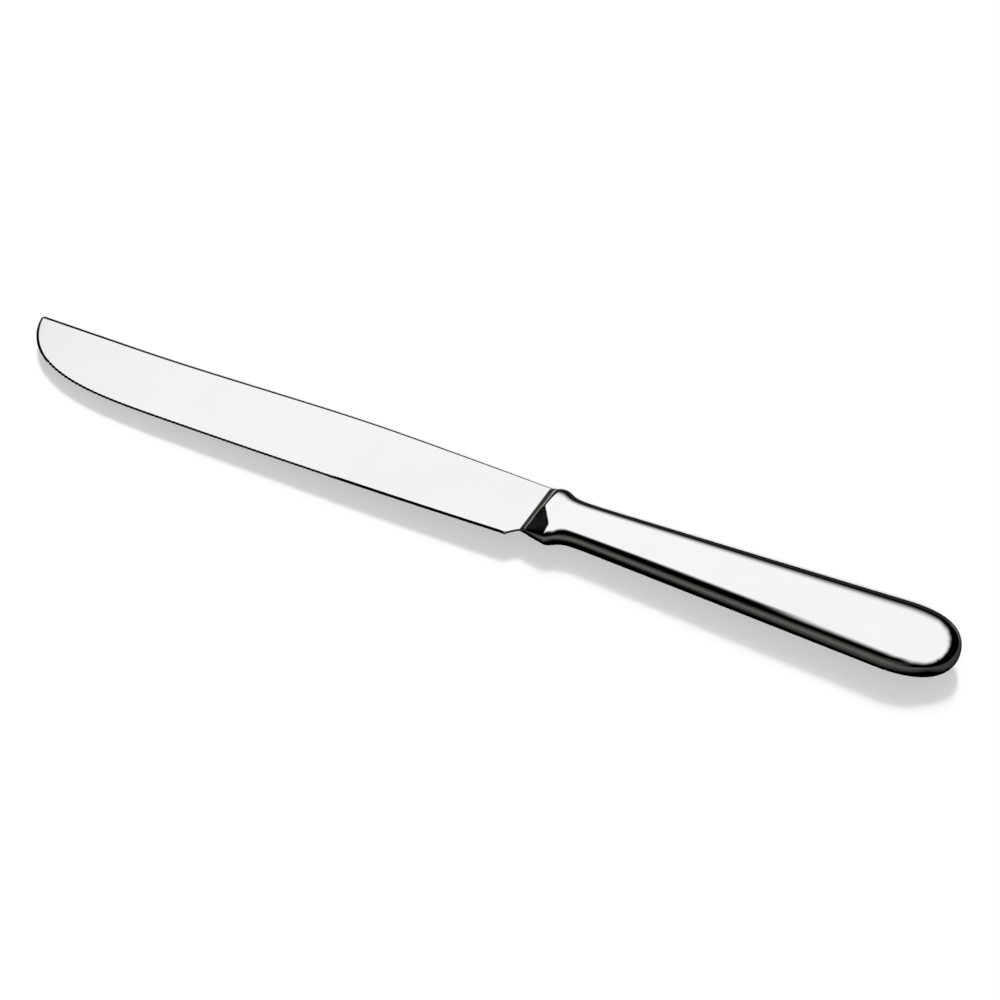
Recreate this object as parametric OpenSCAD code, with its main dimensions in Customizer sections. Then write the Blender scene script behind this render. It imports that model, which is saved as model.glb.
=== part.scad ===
// Steak knife with a hollow handle, lying on its side.
// The blade, its bolster and its tang are one forging. Two stamped half-shells make the handle.
// They are brazed along their seam, soldered to the bolster and filled with cement round the tang.
// Sizes are in millimetres. Outlines are written along the knife, from the tip towards the butt,
// and across it from the handle's axis: the spine is above the axis and the cutting edge below it.

/* [Blade outline] */
// Length of the blade from its tip to the foot of the bolster
blade_len = 132.6; // [115:0.1:160]
// Height of the spine above the handle's axis at the tip
spine_tip_y = 6.75; // [6:0.05:8]
// Distance from the tip over which the spine stays level
spine_level_len = 26; // [10:1:35]
// Distance from the tip to the highest point of the spine
spine_top_x = 88; // [70:1:96]
// Rise of the spine from the tip to its highest point
spine_rise = 1.6; // [0.5:0.1:3]
// Fall of the spine from its highest point to the bolster
spine_fall = 1.35; // [0.2:0.05:2]
// Radius of the corner where the spine meets the rounded tip
tip_corner_r = 0.7; // [0.4:0.1:1.2]
// Depth of the cutting edge below the handle's axis at the belly
belly_depth = 11.7; // [9.5:0.05:14]
// Distance from the tip to the deepest point of the belly
belly_x = 46; // [36:1:56]
// Fullness of the curve from the tip to the belly
belly_power = 3.63; // [2.8:0.01:4.2]
// Roundness of the curve close to the tip
tip_power = 0.484; // [0.46:0.002:0.6]
// Distance in front of the tip from which that curve is drawn
tip_lead = 0.25; // [0.15:0.01:0.35]
// Rise of the cutting edge from the belly to the heel
heel_rise = 1.55; // [0.5:0.05:3]
// Length of the choil, the step between the heel and the bolster
choil_len = 2.9; // [2:0.1:6]
// Depth of the choil's step
choil_step = 2.65; // [1:0.05:3]

/* [Blade grind] */
// Thickness of the spine at the bolster
spine_t = 2.2; // [1.6:0.1:3]
// Thickness of the spine at the tip
tip_t = 1.3; // [0.9:0.1:1.6]
// Width of the bevel along the spine's corners at the tip
spine_bevel_w = 1.05; // [0.4:0.05:1.2]
// Width of the bevel along the spine's corners at the bolster
spine_bevel_end_w = 0.32; // [0.1:0.02:0.5]
// Angle of the bevel along the spine's corners, to the blade's face
spine_bevel_angle = 23; // [15:1:30]
// Thickness behind the edge along the teeth
toothed_edge_t = 0.68; // [0.5:0.02:0.8]
// Thickness behind the edge along the plain stretch
plain_edge_t = 0.9; // [0.7:0.02:1.2]
// Thickness behind the edge in the choil
choil_edge_t = 0.64; // [0.5:0.02:0.9]
// Angle of the edge bevel to the blade's plane
bevel_angle = 45; // [35:1:55]
// Angle of the edge bevel round the tip
tip_bevel_angle = 35; // [28:1:45]
// Angle of the edge bevel in the choil
choil_bevel_angle = 72; // [60:1:80]
// Thickness of the cutting edge itself
edge_land_t = 0.12; // [0.06:0.02:0.2]
// Distance from the tip to the first tooth
teeth_start_x = 9; // [6:0.5:20]
// Length of the toothed stretch
teeth_len = 78; // [40:1:84]
// Pitch of the teeth
tooth_pitch = 1.1; // [0.9:0.1:3]
// Depth of the teeth
tooth_depth = 0.2; // [0.1:0.02:0.26]

/* [Bolster and tang] */
// Length of the bolster's step, from the blade's face to the mouth joint
bolster_len = 1.3; // [0.8:0.1:3]
// Roundness of the bolster's step, 1 being a straight slope
bolster_power = 1.1; // [1:0.05:2]
// Half-width of the mouth joint on the spine's side
joint_spine_w = 7.2; // [6.5:0.1:7.6]
// Half-width of the mouth joint on the edge's side
joint_edge_w = 7.5; // [6.8:0.1:7.8]
// Thickness of the mouth joint in its middle
joint_t = 2.7; // [2.6:0.05:3.4]
// Part by which the joint is thicker at the spine and thinner at the edge, as the blade is
joint_wedge = 0.3; // [0:0.02:0.34]
// Squareness of the mouth joint's section
joint_power = 6; // [3:0.5:8]
// Lean of the bolster's foot: how far back the spine's side lies for each millimetre across
foot_lean = 0.027; // [0:0.001:0.04]
// Lean of the mouth joint, in the same measure
joint_lean = 0.059; // [0:0.001:0.08]
// Length of the handle over which the lean runs out
lean_run = 9; // [7:0.5:12]
// Length of the tang inside the handle
tang_len = 54; // [40:1:70]
// Width of the tang at the bolster
tang_w = 7.6; // [6.4:0.1:8.2]
// Width of the tang at its end
tang_end_w = 5.2; // [4:0.1:6]
// Thickness of the tang
tang_t = 1.6; // [1.3:0.1:1.8]
// Width of the edge broken along the tang's corners
tang_chamfer = 0.4; // [0.2:0.05:0.5]
// Number of notch pairs that key the tang into the cement
tang_notches = 3; // [1:1:5]
// Depth of each notch
notch_depth = 0.8; // [0.4:0.1:1.1]
// Length of each notch
notch_len = 5; // [3:0.5:7]

/* [Handle] */
// Length of the handle from the mouth joint to the butt
handle_len = 101.9; // [84:0.1:125]
// Width of the handle at the neck
neck_w = 12.25; // [10.5:0.05:14]
// Thickness of the handle at the neck
neck_t = 7.8; // [6.8:0.05:9]
// Distance from the mouth joint to the neck
neck_x = 12; // [9:0.5:16]
// Width of the handle where the butt starts to round
butt_w = 19.9; // [16:0.1:24]
// Thickness of the handle where the butt starts to round
butt_t = 9.85; // [8.2:0.05:12]
// Length of the butt's rounding seen from above
butt_len = 15.7; // [12:0.1:18]
// Length of the butt's rounding seen from the side
butt_side_len = 8.2; // [6:0.1:11]
// Fullness of the butt's rounding seen from the side
butt_power = 2.6; // [2:0.1:3]
// Length over which the handle swells behind the mouth joint on the spine's side
spine_swell_len = 1.3; // [1:0.1:3]
// Length over which the handle swells behind the mouth joint on the edge's side
edge_swell_len = 4.9; // [3:0.1:6]
// Roundness of the swell on the edge's side, 1 being a straight ramp
edge_swell_power = 1.12; // [1.05:0.01:1.6]
// Part of the way towards the edge's side at which the swell starts to lengthen
swell_start = 0.13; // [0:0.01:0.3]
// Part of the way over which it lengthens
swell_spread = 0.5; // [0.3:0.05:0.7]
// Extra half-width of the flared mouth on the spine's side
spine_flare = 2.4; // [1.5:0.05:3]
// Distance from the mouth joint to the widest part of the spine side's flare
spine_flare_x = 2.0; // [1.5:0.1:4]
// Length over which the spine side's flare runs out
spine_flare_len = 4.2; // [2.5:0.1:5.5]
// Extra half-width of the flared mouth on the edge's side
edge_flare = 2.75; // [1.5:0.05:3.2]
// Distance from the mouth joint to the widest part of the edge side's flare
edge_flare_x = 4.7; // [3:0.1:6]
// Length over which the edge side's flare runs out
edge_flare_len = 3.2; // [2.5:0.1:5]
// Fullness of the oval section, 2 being an ellipse
section_power = 2.12; // [2:0.02:2.6]
// Depth by which the crown of each face is flattened, so that the handle rests steadily
crown_flat = 0.1; // [0.06:0.01:0.14]

/* [Shells and fillers] */
// Wall thickness of the stamped shells
shell_wall = 1.0; // [0.7:0.05:1.2]
// Thickness of the braze between the shells
braze_t = 0.16; // [0.1:0.02:0.3]
// Thickness of the solder in the mouth joint
solder_t = 0.2; // [0.1:0.05:0.4]
// Clearance of the mouth's slot over the tang's thickness, to each side
slot_gap = 0.1; // [0.06:0.02:0.14]
// Distance from the mouth joint to the cement
cement_start = 1.7; // [1.5:0.1:3]
// Length of the cement behind the end of the tang
cement_past_tang = 8; // [4:1:12]
// Clearance between the cement and what it fills
cement_gap = 0.04; // [0.03:0.01:0.08]

/* [Hidden] */
steel = "silver";
filler = "wheat";
bright_metal = "gainsboro";

// Places along the knife, from the tip
heel_x = blade_len - choil_len;
bolster_end_x = blade_len + bolster_len;
mouth_x = bolster_end_x + solder_t;
knife_len = mouth_x + handle_len;
butt_start = handle_len - butt_len;
cement_len = tang_len + cement_past_tang;
teeth = floor(teeth_len / tooth_pitch);

// Resting attitude: the lower face of the tapered handle lies level
t_slope = (butt_t - neck_t) / 2 / (butt_start - neck_x);
tilt = atan(t_slope);
w_slope = (butt_w - neck_w) / 2 / (butt_start - neck_x);

// Shapes of the curves: powers, and the lengths over which one form passes into the next
spine_fall_power = 1.4;
spine_bevel_power = 2.5;
choil_power = 1.15;
slot_power = 8;
spine_swell_power = 2;
swell_turn = 3;
tip_edge_drop = 0.55 * tip_corner_r;
tip_grind_start = 1;
tip_grind_len = 9;
teeth_blend = 4;
choil_blend = 0.8;
heel_blend = 0.4;

// Limits of the blade's section where it narrows to nothing at the tip, as parts of its width or thickness
crown_limit = 0.25;
shoulder_limit = 0.88;
spine_land = 0.4;

// Fineness of the facets
ring_corners = 8;
slope_step = 0.02;
outline_steps = 40;
mouth_crowding = 2.2;
arc_steps = 23;
mouth_steps = 16;
mouth_span = 20;
butt_steps = 9;
step_steps = 4;
tip_steps = 14;
plain_steps = 8;
choil_steps = 4;
tip_face_x = 0.1;

function clamp(u) = min(max(u, 0), 1);

// Smooth rise from 0 to 1
function ease(u) = let (v = clamp(u)) v * v * (3 - 2 * v);

// Quarter round from 0 to 1, flat where it starts
function cove(u) = 1 - sqrt(1 - u * u);

function mix(a, b, u) = a + (b - a) * u;

// Height of the spine above the axis, at a distance x from the tip
function spine_y(x) =
    let (
        corner = x < tip_corner_r ? tip_corner_r * cove(1 - x / tip_corner_r) : 0,
        rise = spine_rise * ease((x - spine_level_len) / (spine_top_x - spine_level_len)),
        run = blade_len - spine_top_x,
        fall = x > spine_top_x ? spine_fall * pow((x - spine_top_x) / run, spine_fall_power) : 0
    )
    spine_tip_y - corner + rise - fall;

// Curve of the edge round the tip, which passes the tip inside the rounded corner of the spine
function edge_bow(x) = pow(1 - pow(1 - (x + tip_lead) / (belly_x + tip_lead), belly_power), tip_power);
edge_start_y = spine_tip_y - tip_edge_drop;
edge_top_y = (edge_start_y + belly_depth * edge_bow(0)) / (1 - edge_bow(0));

// Place of the cutting edge across the knife, before the teeth are cut
function edge_y(x) =
    x < belly_x ? edge_top_y - (edge_top_y + belly_depth) * edge_bow(x)
    : x < heel_x ? -belly_depth + heel_rise * pow((x - belly_x) / (heel_x - belly_x), 2)
    : -belly_depth + heel_rise + choil_step * (1 - pow(1 - min((x - heel_x) / choil_len, 1), choil_power));

// Half thickness of the spine, of the shoulder behind the edge and of the flat face between them
function spine_half_t(x) = mix(tip_t, spine_t, x / blade_len) / 2;
function edge_half_t(x) =
    let (plain = mix(plain_edge_t, choil_edge_t, ease((x - heel_x) / choil_blend)))
    mix(toothed_edge_t, plain, ease((x - teeth_start_x - teeth_len) / teeth_blend + 0.5)) / 2;
function face_half_t(x, y) =
    let (base = x > belly_x ? edge_y(x) : -belly_depth)
    mix(edge_half_t(x), spine_half_t(x), clamp((y - base) / (spine_y(x) - base)));

// Steepness of the edge bevel: flatter round the tip, steep in the choil
function bevel_rise(x) =
    let (ground = mix(tip_bevel_angle, bevel_angle, ease((x - tip_grind_start) / tip_grind_len)))
    tan(mix(ground, choil_bevel_angle, ease((x - heel_x) / heel_blend + 0.5)));

// Place across the blade where the edge bevel meets the flat face
function shoulder_y(x, rise, tries = 3) =
    tries == 0 ? edge_y(x)
    : edge_y(x) + (face_half_t(x, shoulder_y(x, rise, tries - 1)) - edge_land_t / 2) / rise;

// Cross-section of the blade: eight corners, from the edge over the upper face to the spine and back
function blade_ring(x, cut = 0) =
    let (
        e = edge_y(x),
        s = spine_y(x),
        ahead = x + slope_step,
        behind = max(x - slope_step, 0),
        slope = (edge_y(ahead) - edge_y(behind)) / (ahead - behind),
        rise = bevel_rise(x) / sqrt(1 + slope * slope),
        land = edge_land_t / 2,
        bevel_w = mix(spine_bevel_w, spine_bevel_end_w, pow(x / blade_len, spine_bevel_power)),
        crown = min(bevel_w, crown_limit * (s - e)),
        top = min(spine_half_t(x), land + rise * (s - crown - e)),
        low = max(top - crown * tan(spine_bevel_angle), spine_land * top),
        y = min(shoulder_y(x, rise), mix(e, s - crown, shoulder_limit)),
        z = min(face_half_t(x, y), land + rise * (y - e))
    )
    [
        [x, e + cut, land], [x, y + cut / 2, z], [x, s - crown, top], [x, s, low],
        [x, s, -low], [x, s - crown, -top], [x, y + cut / 2, -z], [x, e + cut, -land]
    ];

// Stations from the tip to the first tooth, along the teeth, to the heel and through the choil
tip_rings = [
    for (i = [0:tip_steps - 1])
    blade_ring(tip_face_x + (teeth_start_x - tip_face_x) * pow(i / tip_steps, 2))
];
tooth_rings = [
    for (i = [0:2 * teeth])
    blade_ring(teeth_start_x + i * tooth_pitch / 2, i % 2 == 1 ? tooth_depth : 0)
];
teeth_end_x = teeth_start_x + teeth * tooth_pitch;
plain_rings = [
    for (i = [1:plain_steps])
    blade_ring(mix(teeth_end_x, heel_x, i / plain_steps))
];
choil_rings = [
    for (i = [1:choil_steps - 1])
    blade_ring(heel_x + choil_len * i / choil_steps)
];

// Straight taper of the handle, at a distance h from the mouth joint
function taper_w(h) = neck_w / 2 + w_slope * (h - neck_x);
function taper_t(h) = neck_t / 2 + t_slope * (h - neck_x);

// Rounding of the butt, 1 in front of it and 0 at its end
function fade(h, length, power) =
    let (u = max(h - handle_len + length, 0) / length)
    pow(max(1 - pow(u, power), 0), 1 / power);
function fade_w(h) = fade(h, butt_len, section_power);
function fade_t(h) = fade(h, butt_side_len, butt_power);

// Half-width of one side, with its own flare
function side_w(h, extra, at, run) =
    taper_w(max(h, at)) + extra / pow(1 + pow(max(h - at, 0) / run, 2), 2);
function spine_side(h) = side_w(h, spine_flare, spine_flare_x, spine_flare_len);
function edge_side(h) = side_w(h, edge_flare, edge_flare_x, edge_flare_len);

// Point across an oval section, at an angle from the spine side over the upper face
// A section is its half-width to the spine, its half-width to the edge, its half-thickness, its power
// and the part by which it is thicker at the spine than in its middle
function oval(section, angle) =
    let (
        s = sin(angle),
        p = 2 / section[3],
        across = sign(cos(angle)) * pow(abs(cos(angle)), p)
    )
    [
        (across > 0 ? section[0] : section[1]) * across,
        section[2] * sign(s) * pow(abs(s), p) * (1 + section[4] * across)
    ];

// Sections of the mouth joint, of the slot for the tang in it, and of the handle with its butt
joint = [joint_spine_w, joint_edge_w, joint_t / 2, joint_power, joint_wedge];
slot = [tang_w / 2 + 2 * slot_gap, tang_w / 2 + 2 * slot_gap, tang_t / 2 + slot_gap, slot_power, 0];
function full(h, inset) = [
    (spine_side(h) - inset) * fade_w(h),
    (edge_side(h) - inset) * fade_w(h),
    (taper_t(h) - inset) * fade_t(h),
    section_power,
    0
];

// How far the handle has swelled from the joint's section to its own: a quarter round on the spine's
// side that comes close to a straight ramp on the edge's side
function swell(h, angle) =
    let (
        e = clamp((-cos(angle) - swell_start) / swell_spread),
        u = 1 - clamp(h / mix(spine_swell_len, edge_swell_len, e)),
        q = mix(spine_swell_power, edge_swell_power, min(swell_turn * e, 1))
    )
    pow(1 - pow(u, q), 1 / q);
function outside(h, angle) = mix(oval(joint, angle), oval(full(h, 0), angle), swell(h, angle));
function hollow(h, angle, gap) =
    let (s = swell(h - shell_wall, angle))
    mix(oval(slot, angle), oval(full(h, shell_wall + gap), angle), h < mouth_span ? s : 1);

// The bolster and the mouth joint lean a little: the spine's side lies further back than the edge's side
function lean(x) =
    x < bolster_end_x
    ? mix(foot_lean, joint_lean, clamp((x - blade_len) / bolster_len)) * ease((x - heel_x) / choil_len)
    : joint_lean * (1 - ease((x - mouth_x) / lean_run));
function leaned(points) = [
    for (p = points)
    concat([p[0] + lean(p[0]) * p[1]], [for (i = [1:len(p) - 1]) p[i]])
];

// The bolster's step: the blade's last section is divided finely and rises to the joint's section
step_counts = [2, 17, 2, 2, 2, 17, 2, 2];
function step_angle(k) = 180 - (k + 1) * 180 / arc_steps;
function running(list, n) = n == 0 ? 0 : list[n - 1] + running(list, n - 1);
step_first = [for (i = [0:len(step_counts)]) running(step_counts, i)];
foot_points = [
    for (i = [0:ring_corners - 1], k = [0:step_counts[i] - 1])
    let (ring = blade_ring(blade_len))
    mix(ring[i], ring[(i + 1) % ring_corners], k / step_counts[i])
];
function oval_ring(x, section) = [
    for (k = [0:2 * arc_steps - 1])
    concat([x], oval(section, step_angle(k)))
];
joint_points = oval_ring(bolster_end_x, joint);
step_rings = [
    for (i = [0:step_steps])
    let (
        u = i / step_steps,
        rise = pow(1 - pow(1 - u, bolster_power), 1 / bolster_power)
    )
    [
        for (k = [0:len(foot_points) - 1])
        let (p = mix(foot_points[k], joint_points[k], rise))
        [mix(blade_len, bolster_end_x, u), p[1], p[2]]
    ]
];

// Cross-section of the tang, grown by a gap where the cement is cast round it
function tang_half_w(h) = mix(tang_w, tang_end_w, h / tang_len) / 2;
function tang_ring(h, inset, gap) =
    let (
        w = tang_half_w(h) - inset + gap,
        t = tang_t / 2 + gap,
        c = tang_chamfer,
        x = bolster_end_x + h
    )
    [
        [x, -w, t - c], [x, -w + c, t], [x, w - c, t], [x, w, t - c],
        [x, w, c - t], [x, w - c, -t], [x, -w + c, -t], [x, -w, c - t]
    ];
notch_pitch = tang_len / (tang_notches + 1);
function tang_rings(gap, start) = concat(
    [tang_ring(start, 0, gap)],
    [
        for (i = [1:tang_notches], k = [0:3])
        let (
            side = [-1, -0.5, 0.5, 1][k] * notch_len / 2 - (k < 2 ? -gap : gap),
            inset = (k == 1 || k == 2) ? notch_depth : 0
        )
        tang_ring(i * notch_pitch + side, inset, gap)
    ],
    [tang_ring(tang_len + gap, 0, gap)]
);

// Faces between two rings of n points each, stored from two starting numbers
// From the corner called low to the last but one, each facet is split along its other diagonal
function band(a, b, n, low = undef) = [
    for (j = [0:n - 1])
    let (k = (j + 1) % n)
    each !is_undef(low) && j >= low && j < n - 1
        ? [[a + j, a + k, b + j], [a + k, b + k, b + j]]
        : [[a + j, a + k, b + k], [a + j, b + k, b + j]]
];

// Faces between an eight-cornered ring and the finely divided ring round it
// Each side is split in its middle: one half fans from the corner before it, the other from the corner after it
function stitch(coarse, fine) = [
    for (i = [0:ring_corners - 1])
    let (
        n = step_first[ring_corners],
        next = (i + 1) % ring_corners,
        half = ceil(step_counts[i] / 2)
    )
    each concat(
        [
            for (k = [0:step_counts[i] - 1])
            let (m = step_first[i] + k)
            [coarse + (k < half ? i : next), fine + (m + 1) % n, fine + m]
        ],
        [[coarse + i, coarse + next, fine + (step_first[i] + half) % n]]
    )
];

// A flat face over one ring, as a fan of triangles
function fan(a, n) = [for (j = [1:n - 2]) [a, a + j, a + j + 1]];

function flip(faces) = [for (f = faces) [f[0], f[2], f[1]]];

// All bands of a run of rings
function bands(first, rings, n, low = undef) = [
    for (i = [0:rings - 2])
    each band(first + i * n, first + (i + 1) * n, n, low)
];

// Lays the knife on its side with its handle on the ground, centred over the origin
outline_y = concat(
    [for (i = [0:outline_steps]) edge_y(mix(teeth_start_x, heel_x, i / outline_steps))],
    [for (i = [0:outline_steps]) -full(handle_len * i / outline_steps, 0)[1]],
    [for (i = [0:outline_steps]) full(handle_len * i / outline_steps, 0)[0]],
    [spine_y(spine_top_x)]
);
middle_y = (min(outline_y) + max(outline_y)) / 2;
ground_drop = (neck_t / 2 - crown_flat - t_slope * (mouth_x + neck_x)) * cos(tilt);
module at_rest() {
    translate([-knife_len / 2 * cos(tilt), -middle_y, ground_drop])
    rotate([0, -tilt, 0])
    children();
}

// One forging: blade, bolster step and notched tang
module blade() {
    outer = concat(tip_rings, tooth_rings, plain_rings, choil_rings);
    tang = tang_rings(0, 0);
    fine = len(foot_points);
    n = ring_corners;
    step_at = n * len(outer);
    tang_at = step_at + fine * len(step_rings);
    points = concat(
        [for (r = outer) each r],
        [for (r = step_rings) each r],
        [for (r = tang) each r]
    );
    faces = concat(
        flip(fan(0, n)),
        bands(0, len(outer), n),
        stitch(n * (len(outer) - 1), step_at),
        bands(step_at, len(step_rings), fine),
        flip(stitch(tang_at, tang_at - fine)),
        bands(tang_at, len(tang), n),
        fan(tang_at + n * (len(tang) - 1), n)
    );
    color(steel) at_rest() polyhedron(leaned(points), faces);
}

// Stations along the handle: close at the mouth, then the cement's end, then round the butt
handle_stations = concat(
    [for (i = [0:mouth_steps]) mouth_span * pow(i / mouth_steps, mouth_crowding)],
    [cement_len],
    [for (i = [0:butt_steps - 1]) butt_start + butt_len * sin(90 * i / butt_steps)]
);

// Outside and inside of the upper half-shell at one station, from the spine side to the edge side
function outer_arc(h) = [
    for (j = [0:arc_steps])
    let (
        p = outside(h, 180 * j / arc_steps),
        crown = full(h, 0)[2] - crown_flat
    )
    [mouth_x + h, p[0], max(min(p[1], crown), braze_t / 2)]
];
function inner_h(h) =
    h <= butt_start ? h : butt_start + (h - butt_start) * (butt_len - shell_wall) / butt_len;
function inner_arc(h) = [
    for (j = [arc_steps:-1:0])
    let (p = hollow(h, 180 * j / arc_steps, 0))
    [mouth_x + inner_h(h), p[0], max(p[1], braze_t / 2)]
];

// One stamped half-shell, slotted at the mouth and closed round the butt: the upper one, or its mirror image
module half_shell(side) {
    rings = [for (h = handle_stations) concat(outer_arc(h), inner_arc(h))];
    half = arc_steps + 1;
    n = 2 * half;
    last = n * (len(rings) - 1);
    apex = n * len(rings);
    points = concat(
        [for (r = rings) each r],
        [[knife_len, 0, braze_t / 2], [knife_len - shell_wall, 0, braze_t / 2]]
    );
    mouth_faces = [
        for (j = [0:half - 2])
        each [[j, n - 1 - j, n - 2 - j], [j, n - 2 - j, j + 1]]
    ];
    butt_faces = concat(
        [for (j = [0:half - 2]) [last + j, last + j + 1, apex]],
        [for (j = [half:n - 2]) [last + j, last + j + 1, apex + 1]],
        [
            [last + half - 1, last + half, apex + 1], [last + half - 1, apex + 1, apex],
            [last + n - 1, last, apex], [last + n - 1, apex, apex + 1]
        ]
    );
    faces = concat(mouth_faces, bands(0, len(rings), n), butt_faces);
    polyhedron([for (p = leaned(points)) [p[0], p[1], side * p[2]]], side > 0 ? flip(faces) : faces);
}

module handle_shell_upper() {
    color(steel) at_rest() half_shell(1);
}

module handle_shell_lower() {
    color(steel) at_rest() half_shell(-1);
}

// Braze between the rims of the two shells: a thin flat ribbon that runs round the butt
module seam_braze() {
    back = [for (i = [len(handle_stations) - 1:-1:0]) handle_stations[i]];
    rim = concat(
        [for (h = handle_stations) [mouth_x + h, outside(h, 0)[0]]],
        [[knife_len, 0]],
        [for (h = back) [mouth_x + h, outside(h, 180)[0]]],
        [for (h = handle_stations) [mouth_x + inner_h(h), hollow(h, 180, 0)[0]]],
        [[knife_len - shell_wall, 0]],
        [for (h = back) [mouth_x + inner_h(h), hollow(h, 0, 0)[0]]]
    );
    color(bright_metal) at_rest()
    translate([0, 0, -braze_t / 2])
    linear_extrude(height = braze_t) polygon(leaned(rim));
}

// Solder between the bolster and the handle's mouth: a thin oval ring
module mouth_solder() {
    rings = [
        joint_points, oval_ring(mouth_x, joint),
        oval_ring(mouth_x, slot), oval_ring(bolster_end_x, slot)
    ];
    n = 2 * arc_steps;
    points = [for (r = rings) each r];
    faces = concat(bands(0, len(rings), n), band(n * (len(rings) - 1), 0, n));
    color(bright_metal) at_rest() polyhedron(leaned(points), faces);
}

// Cement cast round the tang, filling the front of the hollow handle
module tang_cement() {
    function cast_ring(h) = [
        for (k = [0:2 * arc_steps - 1])
        concat([mouth_x + h], hollow(h, step_angle(k), cement_gap))
    ];
    stations = [for (h = handle_stations) if (h >= cement_start && h <= cement_len) h];
    outer = [for (h = stations) cast_ring(h)];
    hole = tang_rings(cement_gap, solder_t + stations[0]);
    n = ring_corners;
    fine = len(foot_points);
    hole_at = fine * len(outer);
    points = concat([for (r = outer) each r], [for (r = hole) each r]);
    faces = concat(
        stitch(hole_at, 0),
        bands(0, len(outer), fine, arc_steps - 1),
        fan(hole_at - fine, fine),
        flip(bands(hole_at, len(hole), n)),
        flip(fan(hole_at + n * (len(hole) - 1), n))
    );
    color(filler) at_rest() polyhedron(leaned(points), faces);
}

blade();
handle_shell_upper();
handle_shell_lower();
seam_braze();
mouth_solder();
tang_cement();
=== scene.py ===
# Steak knife with a hollow handle, polished all over, lying on its side on a pale floor.
# Shapes are written in millimetres in the knife's own frame: along it from the tip to the butt,
# across it from the handle's axis with the spine above, and up from the plane of the blade.
import math
import bpy
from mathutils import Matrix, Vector


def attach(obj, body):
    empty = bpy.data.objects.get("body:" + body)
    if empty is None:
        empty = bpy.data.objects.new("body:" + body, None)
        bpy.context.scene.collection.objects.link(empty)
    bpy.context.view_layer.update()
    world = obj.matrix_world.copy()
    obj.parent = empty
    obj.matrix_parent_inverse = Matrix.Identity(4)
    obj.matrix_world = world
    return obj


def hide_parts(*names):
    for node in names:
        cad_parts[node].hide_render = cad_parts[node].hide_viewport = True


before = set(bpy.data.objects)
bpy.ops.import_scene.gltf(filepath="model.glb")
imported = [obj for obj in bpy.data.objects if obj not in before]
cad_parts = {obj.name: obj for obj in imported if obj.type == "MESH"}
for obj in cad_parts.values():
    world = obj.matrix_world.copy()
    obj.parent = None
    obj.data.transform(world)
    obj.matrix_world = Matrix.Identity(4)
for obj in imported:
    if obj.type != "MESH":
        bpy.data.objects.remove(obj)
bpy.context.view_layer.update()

MM = 0.001

# Blade outline
BLADE_LEN = 132.6
SPINE_TIP_Y = 6.75
SPINE_LEVEL_LEN = 26
SPINE_TOP_X = 88
SPINE_RISE = 1.6
SPINE_FALL = 1.35
SPINE_FALL_POWER = 1.4
TIP_CORNER_R = 0.7
TIP_FACE_X = 0.1
TIP_LEAD = 0.25
EDGE_START_SHARE = 0.55
BELLY_DEPTH = 11.7
BELLY_X = 46
BELLY_POWER = 3.63
TIP_POWER = 0.484
HEEL_RISE = 1.55
CHOIL_LEN = 2.9
CHOIL_STEP = 2.65
CHOIL_POWER = 1.15
HEEL_X = BLADE_LEN - CHOIL_LEN

# Blade grind
SPINE_T = 2.2
TIP_T = 1.3
SPINE_BEVEL_W = 1.05
SPINE_BEVEL_END_W = 0.32
SPINE_BEVEL_POWER = 2.5
SPINE_BEVEL_SLOPE = 0.43
SPINE_LAND_SHARE = 0.4
SPINE_ROUND_SHARE = 0.94
SPINE_ROUND_DROP = 0.06
CROWN_SHARE = 0.25
TOOTHED_EDGE_T = 0.68
PLAIN_EDGE_T = 0.9
TOOTHED_EDGE_FADE = 4
CHOIL_EDGE_T = 0.64
CHOIL_EDGE_FADE = 0.8
EDGE_LAND_T = 0.12
BEVEL_ANGLE = 45
TIP_BEVEL_ANGLE = 35
TIP_BEVEL_X = 1
TIP_BEVEL_RUN = 9
CHOIL_BEVEL_ANGLE = 72
CHOIL_BEVEL_RUN = 0.4
SHOULDER_SHARE = 0.88
SHOULDER_PASSES = 3
SLOPE_STEP = 0.02
FACE_MARGIN = 0.02
FACE_PLACES = (FACE_MARGIN, 0.35, 0.7, 1 - FACE_MARGIN, 1.0)

# Teeth of the edge
TEETH_START_X = 9
TEETH_LEN = 78
TOOTH_PITCH = 1.1
TOOTH_DEPTH = 0.2
TOOTH_SHOULDER = 0.5
TOOTH_REACH = 0.5
TEETH = math.floor(TEETH_LEN / TOOTH_PITCH)
EDGE_PLACES = (0.0, 0.5, 1.0)

# Bolster and tang
BOLSTER_LEN = 1.3
BOLSTER_POWER = 1.1
JOINT_SPINE_W = 7.2
JOINT_EDGE_W = 7.5
JOINT_T = 2.7
JOINT_WEDGE = 0.3
JOINT_POWER = 6
TANG_LEN = 54
TANG_W = 7.6
TANG_END_W = 5.2
TANG_T = 1.6
TANG_CHAMFER = 0.4
TANG_NOTCHES = 3
NOTCH_DEPTH = 0.8
NOTCH_LEN = 5
FOOT_LEAN = 0.027
JOINT_LEAN = 0.059
LEAN_RUN = 9
BOLSTER_END_X = BLADE_LEN + BOLSTER_LEN

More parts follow.
